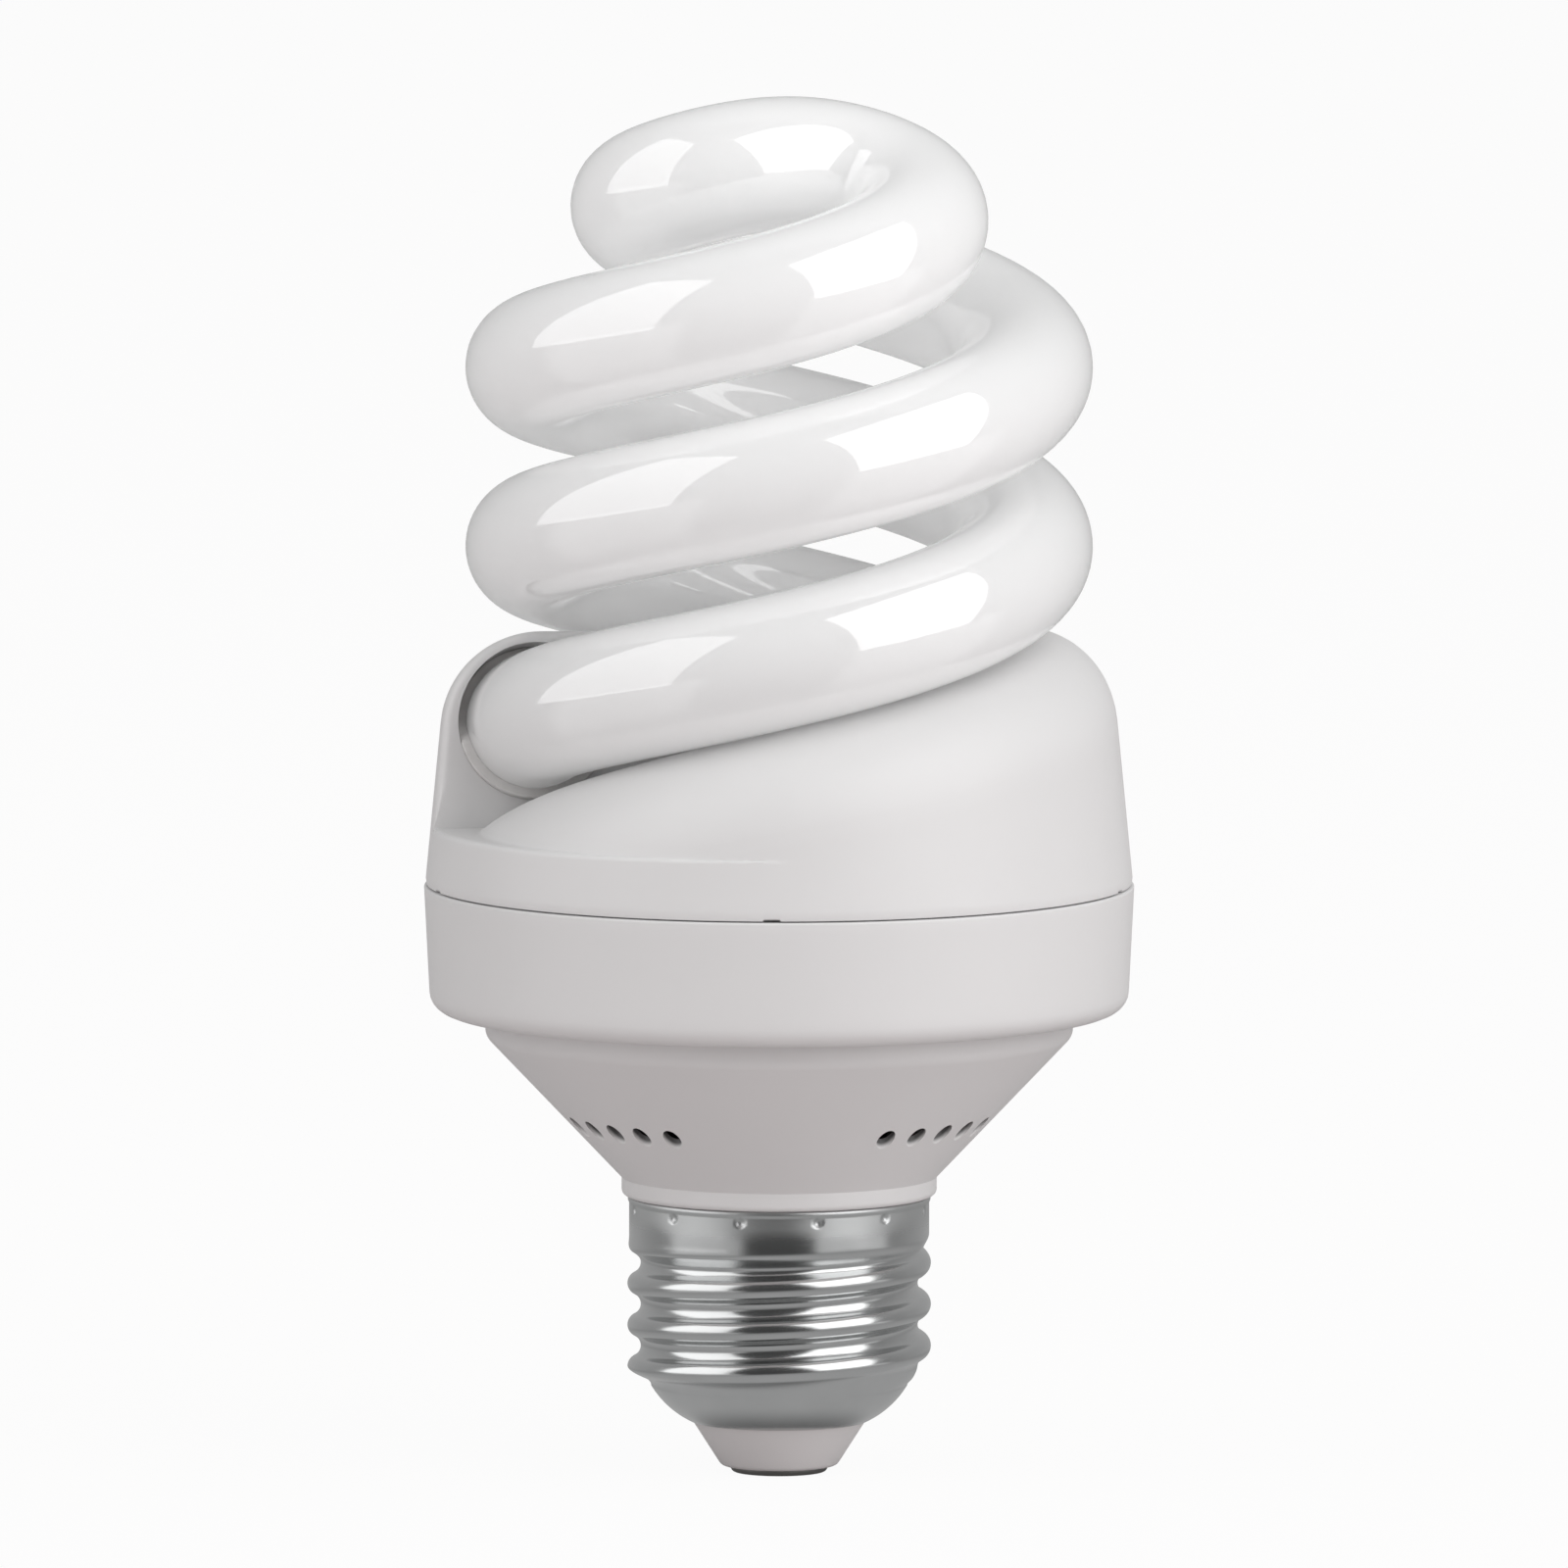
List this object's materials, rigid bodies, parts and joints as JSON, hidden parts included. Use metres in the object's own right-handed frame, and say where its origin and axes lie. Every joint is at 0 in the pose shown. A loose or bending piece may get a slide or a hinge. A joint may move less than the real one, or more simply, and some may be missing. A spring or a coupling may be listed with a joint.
{
  "type": "spiral energy saving bulb",
  "caption": "Spiral compact fluorescent bulb: a white coiled glass tube in a stepped plastic ballast housing with vent holes, on a threaded metal screw cap.",
  "frame": {"origin": "centre of the flat bottom face of the centre contact, on the bulb's axis", "axes": "+Z along the axis from the cap to the top of the spiral; the picture was taken from the -Y side, with +X on its right"},
  "size_m": [0.0614, 0.0614, 0.1196],
  "materials": {
    "coated_glass": "glossy clear glass over a white inner coating, opaque",
    "body_plastic": "satin off-white moulding",
    "shell_plate": "bright nickel plate",
    "cap_plastic": "pale moulded insulator",
    "contact_metal": "dull plated eyelet",
    "seal_cement": "dry white cement",
    "laminate": "tan paper laminate",
    "sleeve_black": "shrunk sleeve",
    "ferrite": "sintered grey",
    "bobbin_plastic": "moulded black",
    "enamel_copper": "enamelled wire",
    "film_red": "dipped coat",
    "epoxy_black": "moulded epoxy",
    "resistor_coat": "lacquer",
    "disc_coat": "dipped coat",
    "tinned_wire": "tinned",
    "wire_sleeve": "extruded sleeve"
  },
  "bodies": {
    "root": {"centre_contact": "contact_metal", "cap_insulator": "cap_plastic", "screw_shell": "shell_plate", "lower_housing": "body_plastic", "tube_holder": "body_plastic", "spiral_tube": "coated_glass", "tube_seals": "seal_cement", "bulk_capacitor": "sleeve_black", "choke_core_lower": "ferrite", "choke_core_upper": "ferrite", "choke_bobbin": "bobbin_plastic", "choke_winding": "enamel_copper", "drive_core": "ferrite", "drive_windings": "enamel_copper", "resonant_capacitor": "film_red", "coupling_capacitor": "film_red", "high_transistor": "epoxy_black", "low_transistor": "epoxy_black", "rectifier_diodes": "epoxy_black", "resistors": "resistor_coat", "fuse_resistor": "resistor_coat", "trigger_diac": "epoxy_black", "filter_choke_core": "ferrite", "filter_choke_winding": "enamel_copper", "start_thermistor": "disc_coat", "snubber_capacitor": "disc_coat", "wrap_posts": "tinned_wire", "tube_leads": "tinned_wire", "line_wire": "wire_sleeve", "contact_wire": "wire_sleeve", "circuit_board": "laminate"}
  },
  "joints": []
}
